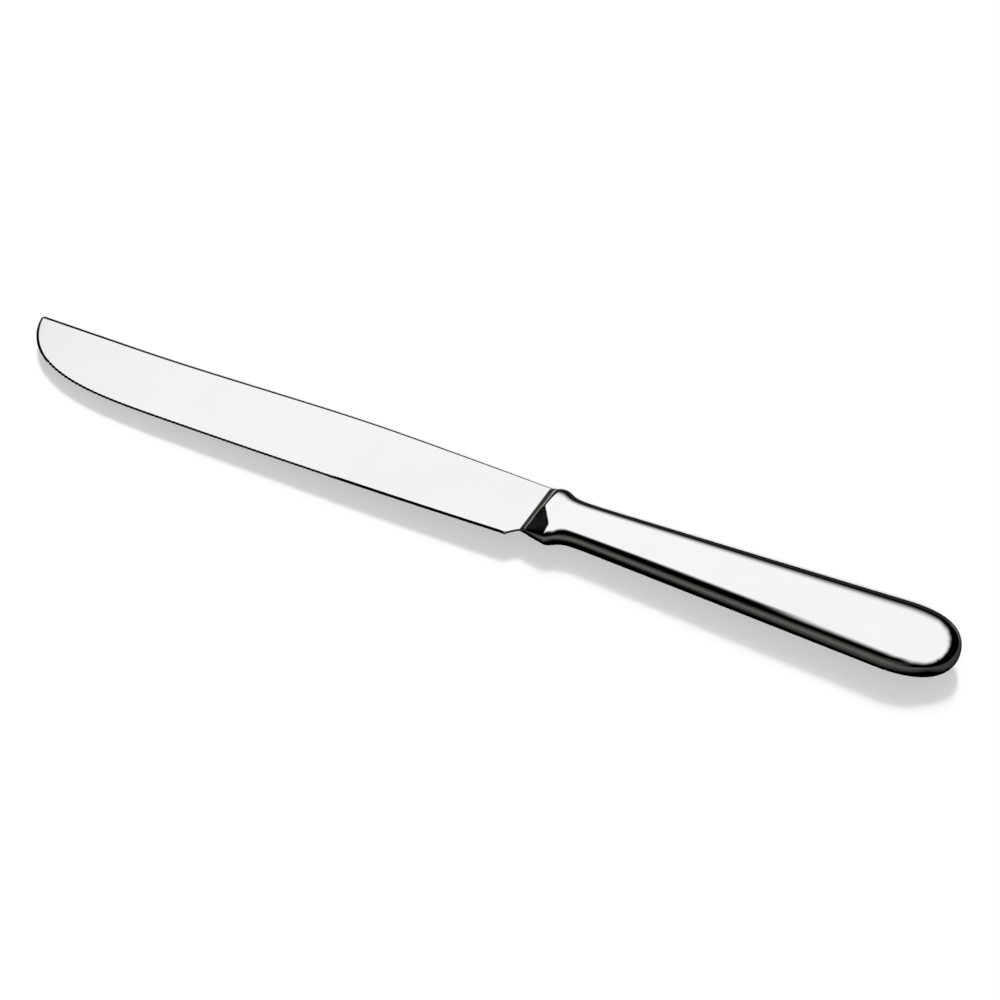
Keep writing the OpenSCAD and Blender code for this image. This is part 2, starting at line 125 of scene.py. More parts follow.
# Handle
HANDLE_LEN = 101.89
NECK_W = 12.25
NECK_T = 7.8
NECK_X = 12
BUTT_W = 19.8
BUTT_T = 9.83
BUTT_LEN = 15.7
BUTT_SIDE_LEN = 8.2
BUTT_POWER = 2.6
SPINE_SWELL_LEN = 1.52
EDGE_SWELL_LEN = 4.9
SWELL_START = 0.13
SWELL_SPREAD = 0.5
SPINE_SWELL_POWER = 1.3
EDGE_SWELL_POWER = 1.12
SWELL_POWER_RATE = 3
SPINE_FLARE = 2.4
SPINE_FLARE_X = 2.0
SPINE_FLARE_LEN = 4.2
EDGE_FLARE = 2.75
EDGE_FLARE_X = 4.7
EDGE_FLARE_LEN = 3.2
SECTION_POWER = 2.12
CROWN_FLAT = 0.1

# Shells and fillers
SHELL_WALL = 1.0
BRAZE_T = 0.16
SOLDER_T = 0.2
SOLDER_LAP = 0.2
LAP_SPREAD = 0.9
SLOT_GAP = 0.1
SLOT_POWER = 8
MOUTH_SPAN = 20
MOUTH_X = BOLSTER_END_X + SOLDER_T
KNIFE_LEN = MOUTH_X + HANDLE_LEN
BUTT_START = HANDLE_LEN - BUTT_LEN

# Resting attitude
T_SLOPE = (BUTT_T - NECK_T) / 2 / (BUTT_START - NECK_X)
W_SLOPE = (BUTT_W - NECK_W) / 2 / (BUTT_START - NECK_X)
TILT = math.atan(T_SLOPE)
GROUND_DROP = (NECK_T / 2 - CROWN_FLAT - T_SLOPE * (MOUTH_X + NECK_X)) * math.cos(TILT)

# Fineness of the meshes
TIP_STATIONS = 60
TOOTH_STATIONS = 8
PLAIN_STATIONS = 40
CHOIL_STATIONS = 24
FOOT_COUNTS = (2, 17, 2, 2, 2, 17, 2, 2)
FOOT_FINE = 3
ARC_STEPS = 23
BOLSTER_STEPS = 14
MOUTH_STEPS = 64
MOUTH_CROWDING = 2.2
SPAN_STEPS = 24
BUTT_STEPS = 48
OUTER_STEPS = 72
SOLDER_STEPS = 192
OUTLINE_STEPS = 40
SHARP_ANGLE = 32
BLADE_SHARP_ANGLE = 14


def clamp(u):
    return min(max(u, 0.0), 1.0)


def ease(u):
    v = clamp(u)
    return v * v * (3 - 2 * v)


def cove(u):
    return 1 - math.sqrt(max(1 - u * u, 0.0))


def mix(a, b, u):
    return a + (b - a) * u


def blend(p, q, u):
    return tuple(mix(a, b, u) for a, b in zip(p, q))


def power(base, exponent):
    return max(base, 0.0) ** exponent


# Blade shape
def spine_y(x):
    corner = TIP_CORNER_R * cove(clamp(1 - x / TIP_CORNER_R))
    rise = SPINE_RISE * ease((x - SPINE_LEVEL_LEN) / (SPINE_TOP_X - SPINE_LEVEL_LEN))
    fall = SPINE_FALL * power((x - SPINE_TOP_X) / (BLADE_LEN - SPINE_TOP_X), SPINE_FALL_POWER)
    return SPINE_TIP_Y - corner + rise - fall


# Curve of the edge round the tip: it passes the tip's face inside the rounded corner of the spine
def edge_bow(x):
    return power(1 - power(1 - (x + TIP_LEAD) / (BELLY_X + TIP_LEAD), BELLY_POWER), TIP_POWER)


EDGE_START_Y = SPINE_TIP_Y - EDGE_START_SHARE * TIP_CORNER_R
EDGE_TOP_Y = (EDGE_START_Y + BELLY_DEPTH * edge_bow(0)) / (1 - edge_bow(0))


def edge_y(x):
    if x < BELLY_X:
        return EDGE_TOP_Y - (EDGE_TOP_Y + BELLY_DEPTH) * edge_bow(x)
    if x < HEEL_X:
        return -BELLY_DEPTH + HEEL_RISE * ((x - BELLY_X) / (HEEL_X - BELLY_X)) ** 2
    step = 1 - power(1 - min((x - HEEL_X) / CHOIL_LEN, 1), CHOIL_POWER)
    return -BELLY_DEPTH + HEEL_RISE + CHOIL_STEP * step


def spine_half_t(x):
    return mix(TIP_T, SPINE_T, x / BLADE_LEN) / 2


def edge_half_t(x):
    plain = mix(PLAIN_EDGE_T, CHOIL_EDGE_T, ease((x - HEEL_X) / CHOIL_EDGE_FADE))
    past_teeth = (x - TEETH_START_X - TEETH_LEN) / TOOTHED_EDGE_FADE
    return mix(TOOTHED_EDGE_T, plain, ease(past_teeth + 0.5)) / 2


def spine_bevel_w(x):
    return mix(SPINE_BEVEL_W, SPINE_BEVEL_END_W, (x / BLADE_LEN) ** SPINE_BEVEL_POWER)


def tooth_cut(x):
    u = (x - TEETH_START_X) / TOOTH_PITCH
    if u < 0 or u > TEETH:
        return 0.0
    return TOOTH_DEPTH * math.sin(math.pi * (u - math.floor(u)))


# Half thickness of the flat face at a place across the blade: a wedge between the belly's level and the spine
def face_half_t(x, y):
    base = edge_y(x) if x > BELLY_X else -BELLY_DEPTH
    return mix(edge_half_t(x), spine_half_t(x), clamp((y - base) / (spine_y(x) - base)))


def bevel_rise(x):
    ground = mix(TIP_BEVEL_ANGLE, BEVEL_ANGLE, ease((x - TIP_BEVEL_X) / TIP_BEVEL_RUN))
    angle = mix(ground, CHOIL_BEVEL_ANGLE, ease((x - HEEL_X) / CHOIL_BEVEL_RUN + 0.5))
    return math.tan(math.radians(angle))


# Corners of the upper half of a blade section: edge, shoulder of its bevel, shoulder of the spine, spine
def blade_corners(x):
    e, s = edge_y(x), spine_y(x)
    slope = (edge_y(x + SLOPE_STEP) - edge_y(max(x - SLOPE_STEP, 0))) / (SLOPE_STEP + min(x, SLOPE_STEP))
    rise = bevel_rise(x) / math.sqrt(1 + slope * slope)
    land = EDGE_LAND_T / 2
    crown = min(spine_bevel_w(x), CROWN_SHARE * (s - e))
    top = min(spine_half_t(x), land + rise * (s - crown - e))
    y = e
    for _ in range(SHOULDER_PASSES):
        y = e + (face_half_t(x, y) - land) / rise
    y = min(y, mix(e, s - crown, SHOULDER_SHARE))
    z = min(face_half_t(x, y), land + rise * (y - e))
    back = max(top - crown * SPINE_BEVEL_SLOPE, SPINE_LAND_SHARE * top)
    return (e, land), (y, z), (s - crown, top), (s, back)


# Upper half of a blade section, from the edge to the spine, as places across and heights
def blade_half(x):
    edge, shoulder, crown, spine = blade_corners(x)
    cut = tooth_cut(x)
    span = crown[0] - shoulder[0]
    tooth = blend(shoulder, crown, min(TOOTH_SHOULDER * cut / span, TOOTH_REACH))
    points = [blend((edge[0] + cut, edge[1]), tooth, u) for u in EDGE_PLACES]
    points += [blend(shoulder, crown, u) for u in FACE_PLACES]
    points += [blend(crown, spine, SPINE_ROUND_SHARE), (spine[0], spine[1] - SPINE_ROUND_DROP)]
    return points


def blade_ring(x):
    half = blade_half(x)
    return [(x, y, z) for y, z in half] + [(x, y, -z) for y, z in reversed(half)]


# Handle shape
def taper_w(h):
    return NECK_W / 2 + W_SLOPE * (h - NECK_X)


def taper_t(h):
    return NECK_T / 2 + T_SLOPE * (h - NECK_X)


def fade(h, length, n):
    u = max(h - HANDLE_LEN + length, 0) / length
    return power(1 - u ** n, 1 / n)


def flare(h, extra, at, run):
    return extra / (1 + (max(h - at, 0) / run) ** 2) ** 2


# A section is its half-width to the spine and to the edge, its half-thickness, its power
# and its wedge, the part by which it is thicker at the spine and thinner at the edge
def full(h, inset):
    fade_w = fade(h, BUTT_LEN, SECTION_POWER)
    spine_side = taper_w(max(h, SPINE_FLARE_X)) + flare(h, SPINE_FLARE, SPINE_FLARE_X, SPINE_FLARE_LEN)
    edge_side = taper_w(max(h, EDGE_FLARE_X)) + flare(h, EDGE_FLARE, EDGE_FLARE_X, EDGE_FLARE_LEN)
    thick = (taper_t(h) - inset) * fade(h, BUTT_SIDE_LEN, BUTT_POWER)
    return ((spine_side - inset) * fade_w, (edge_side - inset) * fade_w, thick, SECTION_POWER, 0)


def oval(section, angle):
    c, s = math.cos(angle), math.sin(angle)
    p = 2 / section[3]
    across = math.copysign(abs(c) ** p, c)
    wide = section[0] if c > 0 else section[1]
    return (wide * across, section[2] * math.copysign(abs(s) ** p, s) * (1 + section[4] * across))


JOINT = (JOINT_SPINE_W, JOINT_EDGE_W, JOINT_T / 2, JOINT_POWER, JOINT_WEDGE)
SLOT = (TANG_W / 2 + 2 * SLOT_GAP, TANG_W / 2 + 2 * SLOT_GAP, TANG_T / 2 + SLOT_GAP, SLOT_POWER, 0)


def swell(h, angle):
    e = clamp((-math.cos(angle) - SWELL_START) / SWELL_SPREAD)
    u = 1 - clamp(h / mix(SPINE_SWELL_LEN, EDGE_SWELL_LEN, e))
    q = mix(SPINE_SWELL_POWER, EDGE_SWELL_POWER, min(SWELL_POWER_RATE * e, 1))
    return power(1 - u ** q, 1 / q)


def blend_sections(a, b, angle, u):
    return blend(oval(a, angle), oval(b, angle), u)


def outside(h, angle):
    section = full(h, 0)
    crowned = (section[0], section[1], max(section[2] - CROWN_FLAT, 0.0), *section[3:])
    return blend_sections(JOINT, crowned, angle, swell(h, angle))


def hollow(h, angle):
    u = swell(h - SHELL_WALL, angle) if h < MOUTH_SPAN else 1
    return blend_sections(SLOT, full(h, SHELL_WALL), angle, u)


def inner_h(h):
    if h <= BUTT_START:
        return h
    return BUTT_START + (h - BUTT_START) * (BUTT_LEN - SHELL_WALL) / BUTT_LEN


HANDLE_STATIONS = (
    [MOUTH_SPAN * (i / MOUTH_STEPS) ** MOUTH_CROWDING for i in range(MOUTH_STEPS)]
    + [mix(MOUTH_SPAN, BUTT_START, i / SPAN_STEPS) for i in range(SPAN_STEPS)]
    + [BUTT_START + BUTT_LEN * math.sin(math.pi / 2 * i / BUTT_STEPS) for i in range(BUTT_STEPS)]
)


# Middle of the outline across the knife, which lies over the origin
def middle_y():
    shares = [i / OUTLINE_STEPS for i in range(OUTLINE_STEPS + 1)]
    sections = [full(HANDLE_LEN * u, 0) for u in shares]
    outline = [edge_y(mix(TEETH_START_X, HEEL_X, u)) for u in shares]
    outline += [-section[1] for section in sections]
    outline += [section[0] for section in sections]
    outline += [spine_y(SPINE_TOP_X)]
    return (min(outline) + max(outline)) / 2


MIDDLE_Y = middle_y()


# The bolster and the mouth joint lean a little: the spine's side lies further back than the edge's side
def lean(x):
    if x < BOLSTER_END_X:
        bolster = mix(FOOT_LEAN, JOINT_LEAN, clamp((x - BLADE_LEN) / BOLSTER_LEN))
        return bolster * ease((x - HEEL_X) / CHOIL_LEN)
    return JOINT_LEAN * (1 - ease((x - MOUTH_X) / LEAN_RUN))


# Lays a point of the knife on the ground, in metres
def at_rest(p):
    x, y, z = p[0] + lean(p[0]) * p[1], p[1], p[2]
    c, s = math.cos(TILT), math.sin(TILT)
    return (
        MM * (x * c - z * s - KNIFE_LEN / 2 * c),
        MM * (y - MIDDLE_Y),
        MM * (x * s + z * c + GROUND_DROP),
    )


# Mesh building
class Skin:
    def __init__(self):
        self.points = []
        self.faces = []

    def ring(self, points):
        first = len(self.points)
        self.points += points
        return list(range(first, len(self.points)))

    def band(self, a, b):
        n = len(a)
        for j in range(n):
            k = (j + 1) % n
            self.faces.append((a[j], a[k], b[k], b[j]))

    def loft(self, rings):
        for a, b in zip(rings, rings[1:]):
            self.band(b, a)

    # Joins two rings that may differ in number, taking the shorter diagonal each time
    def bridge(self, a, b):
        i = j = 0
        na, nb = len(a), len(b)
        while i < na or j < nb:
            a0, a1 = a[i % na], a[(i + 1) % na]
            b0, b1 = b[j % nb], b[(j + 1) % nb]
            step_a = j >= nb or (i < na and self.gap(a1, b0) <= self.gap(a0, b1))
            if step_a:
                self.faces.append((a0, a1, b0))
                i += 1
            else:
                self.faces.append((a0, b1, b0))
                j += 1

    def gap(self, m, n):
        return (Vector(self.points[m]) - Vector(self.points[n])).length

    def cap(self, ring):
        self.faces.append(tuple(ring))

    # Closes a ring whose second half runs back beside its first half
    def ladder(self, ring):
        n = len(ring)
        for j in range(n // 2 - 1):
            self.faces.append((ring[j], ring[j + 1], ring[n - 2 - j], ring[n - 1 - j]))

    def turn_over(self):
        self.faces = [f[::-1] for f in self.faces]

    def make(self, name, sharp_angle=SHARP_ANGLE):
        mesh = bpy.data.meshes.new(name)
        mesh.from_pydata([at_rest(p) for p in self.points], [], self.faces)
        mesh.validate()
        mesh.polygons.foreach_set("use_smooth", [True] * len(mesh.polygons))
        mesh.set_sharp_from_angle(angle=math.radians(sharp_angle))
        mesh.update()
        obj = bpy.data.objects.new(name, mesh)
        bpy.context.scene.collection.objects.link(obj)
        return obj


# One forging: blade with its teeth, rounded bolster step and notched tang
def blade_stations():
    tip = [mix(TIP_FACE_X, TEETH_START_X, (i / TIP_STATIONS) ** 2) for i in range(TIP_STATIONS)]
    toothed = [TEETH_START_X + i * TOOTH_PITCH / TOOTH_STATIONS for i in range(TEETH * TOOTH_STATIONS + 1)]
    plain = [mix(toothed[-1], HEEL_X, i / PLAIN_STATIONS) for i in range(1, PLAIN_STATIONS + 1)]
    choil = [HEEL_X + CHOIL_LEN * i / CHOIL_STATIONS for i in range(1, CHOIL_STATIONS)]
    return tip + toothed + plain + choil


# Outline of the blade's foot on the bolster, with points along each of its sides
def foot_outline():
    half = list(blade_corners(BLADE_LEN))
    corners = half + [(y, -z) for y, z in reversed(half)]
    foot = []
    for a, b, count in zip(corners, corners[1:] + corners[:1], FOOT_COUNTS):
        places = count * FOOT_FINE
        foot += [blend(a, b, k / places) for k in range(places)]
    return foot


def bolster_rings():
    foot = foot_outline()
    angles = [math.pi - (k / FOOT_FINE + 1) * math.pi / ARC_STEPS for k in range(len(foot))]
    mouth = [oval(JOINT, a) for a in angles]
    rings = []
    for i in range(BOLSTER_STEPS + 1):
        u = i / BOLSTER_STEPS
        w = power(1 - (1 - u) ** BOLSTER_POWER, 1 / BOLSTER_POWER)
        x = mix(BLADE_LEN, BOLSTER_END_X, u)
        rings.append([(x, *blend(p, q, w)) for p, q in zip(foot, mouth)])
    return rings


def tang_ring(h, inset):
    w = mix(TANG_W, TANG_END_W, h / TANG_LEN) / 2 - inset
    t, c = TANG_T / 2, TANG_CHAMFER
    corners = [(-w, t - c), (-w + c, t), (w - c, t), (w, t - c)]
    corners += [(w, c - t), (w - c, -t), (-w + c, -t), (-w, c - t)]
    return [(BOLSTER_END_X + h, y, z) for y, z in corners]


# Places along a notch from its middle, in halves of its length, and its depth there
NOTCH_PROFILE = ((-1, 0), (-0.5, NOTCH_DEPTH), (0.5, NOTCH_DEPTH), (1, 0))


def tang_rings():
    pitch = TANG_LEN / (TANG_NOTCHES + 1)
    rings = [tang_ring(0, 0)]
    for i in range(1, TANG_NOTCHES + 1):
        for place, depth in NOTCH_PROFILE:
            rings.append(tang_ring(i * pitch + place * NOTCH_LEN / 2, depth))
    rings.append(tang_ring(TANG_LEN, 0))
    return rings


def make_blade():
    skin = Skin()
    blade = [skin.ring(blade_ring(x)) for x in blade_stations()]
    bolster = [skin.ring(r) for r in bolster_rings()]
    tang = [skin.ring(r) for r in tang_rings()]
    skin.ladder(blade[0])
    skin.loft(blade)
    skin.bridge(bolster[0], blade[-1])
    skin.loft(bolster)
    skin.bridge(tang[0], bolster[-1])
    skin.loft(tang)
    skin.cap(tang[-1][::-1])
    return skin.make("blade_forging", BLADE_SHARP_ANGLE)


# Half-shell of the handle: outer skin, inner skin, rims and slotted mouth
def shell_ring(h, side):
    outer, inner = [], []
    for j in range(OUTER_STEPS + 1):
        a = math.pi * j / OUTER_STEPS
        y, z = outside(h, a)
        outer.append((MOUTH_X + h, y, side * max(z, BRAZE_T / 2)))
        y, z = hollow(h, a)
        inner.append((MOUTH_X + inner_h(h), y, side * max(z, BRAZE_T / 2)))
    return outer + inner[::-1]


# Closes both skins of a shell at the middle of its butt
def close_butt(skin, last, side):
    seam = side * BRAZE_T / 2
    tip, tip_in = skin.ring([(KNIFE_LEN, 0, seam), (KNIFE_LEN - SHELL_WALL, 0, seam)])
    half = OUTER_STEPS + 1
    for j in range(OUTER_STEPS):
        skin.faces.append((last[j + 1], last[j], tip))
        skin.faces.append((last[half + j + 1], last[half + j], tip_in))
    skin.faces.append((last[half], last[half - 1], tip, tip_in))
    skin.faces.append((last[0], last[-1], tip_in, tip))


def make_shell(name, side):
    skin = Skin()
    rings = [skin.ring(shell_ring(h, side)) for h in HANDLE_STATIONS]
    skin.ladder(rings[0])
    skin.loft(rings)
    close_butt(skin, rings[-1], side)
    if side > 0:
        skin.turn_over()
    return skin.make(name)


# Braze ribbon in the seam, round the butt
def seam_place(h, angle):
    return (MOUTH_X + h, outside(h, angle)[0]), (MOUTH_X + inner_h(h), hollow(h, angle)[0])


def make_braze():
    skin = Skin()
    path = [seam_place(h, 0.0) for h in HANDLE_STATIONS]
    path.append(((KNIFE_LEN, 0), (KNIFE_LEN - SHELL_WALL, 0)))
    path += [seam_place(h, math.pi) for h in reversed(HANDLE_STATIONS)]
    t = BRAZE_T / 2
    rings = []
    for outer, inner in path:
        rings.append(skin.ring([(*outer, t), (*outer, -t), (*inner, -t), (*inner, t)]))
    skin.cap(rings[0])
    skin.loft(rings)
    skin.cap(rings[-1][::-1])
    return skin.make("seam_braze_ribbon")


# Solder ring in the mouth joint, which laps a little over the bolster on the spine's side
def solder_lap(angle):
    return SOLDER_LAP * ease(0.5 + LAP_SPREAD * math.cos(angle))


def make_solder():
    skin = Skin()
    angles = [-2 * math.pi * j / SOLDER_STEPS for j in range(SOLDER_STEPS)]
    rows = []
    for u in (0.0, 0.5, 1.0):
        rows.append([(mix(BOLSTER_END_X - solder_lap(a), MOUTH_X, u), *oval(JOINT, a)) for a in angles])
    for u in (1.0, 0.0):
        rows.append([(BOLSTER_END_X + SOLDER_T * u, *oval(SLOT, a)) for a in angles])
    rings = [skin.ring(r) for r in rows]
    skin.loft(rings + rings[:1])
    return skin.make("mouth_solder_ring")


# Shader nodes of a material or of the world
class Nodes:
    def __init__(self, holder):
        self.holder = holder
        holder.use_nodes = True
        self.tree = holder.node_tree
        self.tree.nodes.clear()

    def add(self, kind, inputs=None, **settings):
        node = self.tree.nodes.new(kind)
        for key, value in settings.items():
            setattr(node, key, value)
        for key, value in (inputs or {}).items():
            self.put(node.inputs[key], value)
        return node

    def put(self, socket, value):
        if hasattr(value, "is_output"):
            self.tree.links.new(value, socket)
        else:
            socket.default_value = value

    def noise(self, coords, stretch, detail, rough=0.55):
        mapped = self.add("ShaderNodeMapping", {"Vector": coords, "Scale": stretch}).outputs["Vector"]
        inputs = {"Vector": mapped, "Scale": 1.0, "Detail": detail, "Roughness": rough}
        return self.add("ShaderNodeTexNoise", inputs).outputs["Fac"]

    def span(self, value, low, high, to_low=0.0, to_high=1.0, smooth=True):
        inputs = {"Value": value, "From Min": low, "From Max": high, "To Min": to_low, "To Max": to_high}
        kind = "SMOOTHSTEP" if smooth else "LINEAR"
        return self.add("ShaderNodeMapRange", inputs, interpolation_type=kind).outputs["Result"]

    def math(self, operation, a, b=0.0):
        return self.add("ShaderNodeMath", {0: a, 1: b}, operation=operation).outputs[0]

    def blend(self, fac, a, b):
        node = self.add("ShaderNodeMix", data_type="RGBA")
        self.put(node.inputs["Factor"], fac)
        self.put(node.inputs["A"], a)
        self.put(node.inputs["B"], b)
        return node.outputs["Result"]

    def coords(self):
        return self.add("ShaderNodeTexCoord").outputs["Object"]

    def geometry(self, name):
        return self.add("ShaderNodeNewGeometry").outputs[name]

    def bump(self, height, strength, depth):
        inputs = {"Strength": strength, "Distance": depth, "Height": height}
        return self.add("ShaderNodeBump", inputs).outputs["Normal"]

    def shader(self, kind, inputs=None):
        return self.add(kind, inputs).outputs[0]

    def clear(self):
        return self.shader("ShaderNodeBsdfTransparent")

    def mixed(self, share, first, second):
        return self.shader("ShaderNodeMixShader", {0: share, 1: first, 2: second})

    def surface(self, shader, output="ShaderNodeOutputMaterial"):
        self.add(output, {"Surface": shader})
        return self.holder


def new_material(name):
    return Nodes(bpy.data.materials.new(name))


# Polished metal: soft clouds and fine streaks of tone, haze and scuffs, fine scratches and worn edges
CLOUD_STRETCH = (60, 60, 60)
CLOUD_SHARE = 0.7
TONE_RANGE = (0.35, 0.65)
FINE_RATIO = 3.1
FINE_SHARE = 0.5
WORN_RANGE = (0.52, 0.6)
WORN_GREY = (0.8, 0.8, 0.8, 1)
WORN_ROUGHNESS = 0.12
SCUFF_RANGE = (0.45, 0.75)
SCUFF_SHARE = 0.6
HAZE_RANGE = (0.4, 0.7)
HAZE_LOW = 0.8
HAZE_HIGH = 1.3
SCRATCH_STRENGTH = 0.35


def polished_metal(name, light, dark, rough, grain, scratch_depth, wear):
    n = new_material(name)
    at = n.coords()
    cloud = n.noise(at, CLOUD_STRETCH, detail=3.0)
    streak = n.noise(at, grain, detail=5.0, rough=0.7)
    fine = n.noise(at, tuple(FINE_RATIO * g for g in grain), detail=2.0, rough=0.6)
    worn = n.math("MULTIPLY", n.span(n.geometry("Pointiness"), *WORN_RANGE), wear)
    cloud_tone = n.math("MULTIPLY", cloud, CLOUD_SHARE)
    tone = n.math("ADD", cloud_tone, n.math("MULTIPLY", streak, 1 - CLOUD_SHARE))
    colour = n.blend(n.span(tone, *TONE_RANGE), dark, light)
    colour = n.blend(worn, colour, WORN_GREY)
    scuff = n.span(streak, *SCUFF_RANGE, 0.0, SCUFF_SHARE * rough)
    haze = n.span(cloud, *HAZE_RANGE, HAZE_LOW * rough, HAZE_HIGH * rough)
    roughness = n.math("ADD", n.math("ADD", haze, scuff), n.math("MULTIPLY", worn, WORN_ROUGHNESS))
    height = n.math("ADD", streak, n.math("MULTIPLY", fine, FINE_SHARE))
    normal = n.bump(height, SCRATCH_STRENGTH, scratch_depth)
    inputs = {"Base Color": colour, "Roughness": roughness, "Metallic": 1.0, "Normal": normal}
    return n.surface(n.shader("ShaderNodeBsdfPrincipled", inputs))


# Cast cement: cloudy resin with dark grit
CEMENT_STRETCH = (400, 400, 400)
CEMENT_RANGE = (0.3, 0.7)
CEMENT_DARK = (0.46, 0.37, 0.25, 1)
CEMENT_LIGHT = (0.66, 0.56, 0.42, 1)
GRIT_STRETCH = (2500, 2500, 2500)
GRIT_RANGE = (0.58, 0.7)
GRIT_SHARE = 0.5
GRIT_DARK = (0.3, 0.25, 0.2, 1)
GRIT_DEPTH = 0.1 * MM
GRIT_STRENGTH = 0.5
CEMENT_SMOOTH = 0.7
CEMENT_ROUGH = 0.9


def cast_cement(name):
    n = new_material(name)
    at = n.coords()
    cloud = n.noise(at, CEMENT_STRETCH, detail=6.0)
    grit = n.noise(at, GRIT_STRETCH, detail=3.0)
    colour = n.blend(n.span(cloud, *CEMENT_RANGE), CEMENT_DARK, CEMENT_LIGHT)
    colour = n.blend(n.span(grit, *GRIT_RANGE, 0.0, GRIT_SHARE), colour, GRIT_DARK)
    rough = n.span(grit, *CEMENT_RANGE, CEMENT_SMOOTH, CEMENT_ROUGH)
    normal = n.bump(grit, GRIT_STRENGTH, GRIT_DEPTH)
    inputs = {"Base Color": colour, "Roughness": rough, "Normal": normal}
    return n.surface(n.shader("ShaderNodeBsdfPrincipled", inputs))


BLADE_STEEL = polished_metal(
    "polished_blade_steel",
    light=(0.91, 0.91, 0.915, 1), dark=(0.885, 0.885, 0.89, 1),
    rough=0.05, grain=(900, 25, 900), scratch_depth=4e-7, wear=0.1,
)
HANDLE_STEEL = polished_metal(
    "polished_handle_steel",
    light=(0.925, 0.925, 0.925, 1), dark=(0.9, 0.9, 0.9, 1),
    rough=0.05, grain=(30, 700, 700), scratch_depth=6e-7, wear=0.1,
)
SOLDER = polished_metal(
    "dulled_solder",
    light=(0.35, 0.35, 0.34, 1), dark=(0.27, 0.27, 0.26, 1),
    rough=0.38, grain=(1500, 1500, 1500), scratch_depth=2e-6, wear=0.2,
)
BRAZE = polished_metal(
    "flush_braze",
    light=(0.9, 0.89, 0.87, 1), dark=(0.86, 0.85, 0.82, 1),
    rough=0.07, grain=(60, 900, 900), scratch_depth=1e-6, wear=0.2,
)
CEMENT = cast_cement("cast_cement")


# The pieces and the CAD nodes they stand for
def fit_piece(obj, material, slot, *nodes):
    obj.data.materials.append(material)
    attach(obj, "root")
    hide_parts(*nodes)


fit_piece(make_blade(), BLADE_STEEL, "blade_steel", "blade")
fit_piece(make_shell("upper_shell", 1), HANDLE_STEEL, "handle_steel", "handle_shell_upper")
fit_piece(make_shell("lower_shell", -1), HANDLE_STEEL, "handle_steel", "handle_shell_lower")
fit_piece(make_braze(), BRAZE, "braze", "seam_braze")
fit_piece(make_solder(), SOLDER, "solder", "mouth_solder")
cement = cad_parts["tang_cement"]
cement.data.materials.clear()
cement.data.materials.append(CEMENT)


# Stage: a clear-coated white floor under a white world
def stage_mesh(name, points, faces):
    mesh = bpy.data.meshes.new(name)
    mesh.from_pydata(points, [], faces)
    mesh.update()
    obj = bpy.data.objects.new(name, mesh)
    bpy.context.scene.collection.objects.link(obj)
    return obj


def only_in_reflections(obj):
    obj.visible_camera = False
    obj.visible_diffuse = False
    obj.visible_transmission = False
    obj.visible_volume_scatter = False
    obj.visible_shadow = False


# White floor: a matt top with a clear coat, whose reflections come from a little below
FLOOR_HALF = 4.0
FLOOR_WHITE = (0.97, 0.97, 0.97, 1)
FLOOR_GLOSS = 0.4
FLOOR_DEPTH = 0.8 * MM
COAT_ROUGHNESS = 0.2
WHITE = (1, 1, 1, 1)


def floor_sheet(name, z):
    corners = [(x * FLOOR_HALF, y * FLOOR_HALF, z) for x, y in ((-1, -1), (1, -1), (1, 1), (-1, 1))]
    return stage_mesh(name, corners, [(0, 1, 2, 3)])


def make_floor():
    floor = floor_sheet("floor", 0)
    n = new_material("floor_white")
    matt = n.shader("ShaderNodeBsdfDiffuse", {"Color": FLOOR_WHITE})
    clear_share = n.math("MAXIMUM", n.geometry("Backfacing"), FLOOR_GLOSS)
    floor.data.materials.append(n.surface(n.mixed(clear_share, matt, n.clear())))


def make_floor_coat():
    coat = floor_sheet("floor_coat", -FLOOR_DEPTH)
    n = new_material("floor_coat")
    gloss = n.shader("ShaderNodeBsdfGlossy", {"Color": WHITE, "Roughness": COAT_ROUGHNESS})
    coat.data.materials.append(n.surface(gloss))


# Card on the floor, which only reflections see, painting the floor's shade and light into the metal: painted
# shade, black close to the knife, and a painted glow further out
# The painted glow is dim in front of the knife and just round its butt, and darker behind it
CARD_HEIGHT = 0.03 * MM
CARD_GLOW_TINT = (1, 1, 0.95, 1)
CARD_PAINTED_GLOW = 0.125
CARD_BACK = 0.2
CARD_DARK_REACH = 1 * MM
CARD_HALF_GLOW = 8 * MM
CARD_BACK_Y = 12 * MM
KNIFE_HALF_LEN = 117 * MM
KNIFE_HALF_W = 9.5 * MM
BUTT_SIDE_X = 100 * MM
BUTT_NEAR_X = 121 * MM
BUTT_FAR_X = 138 * MM


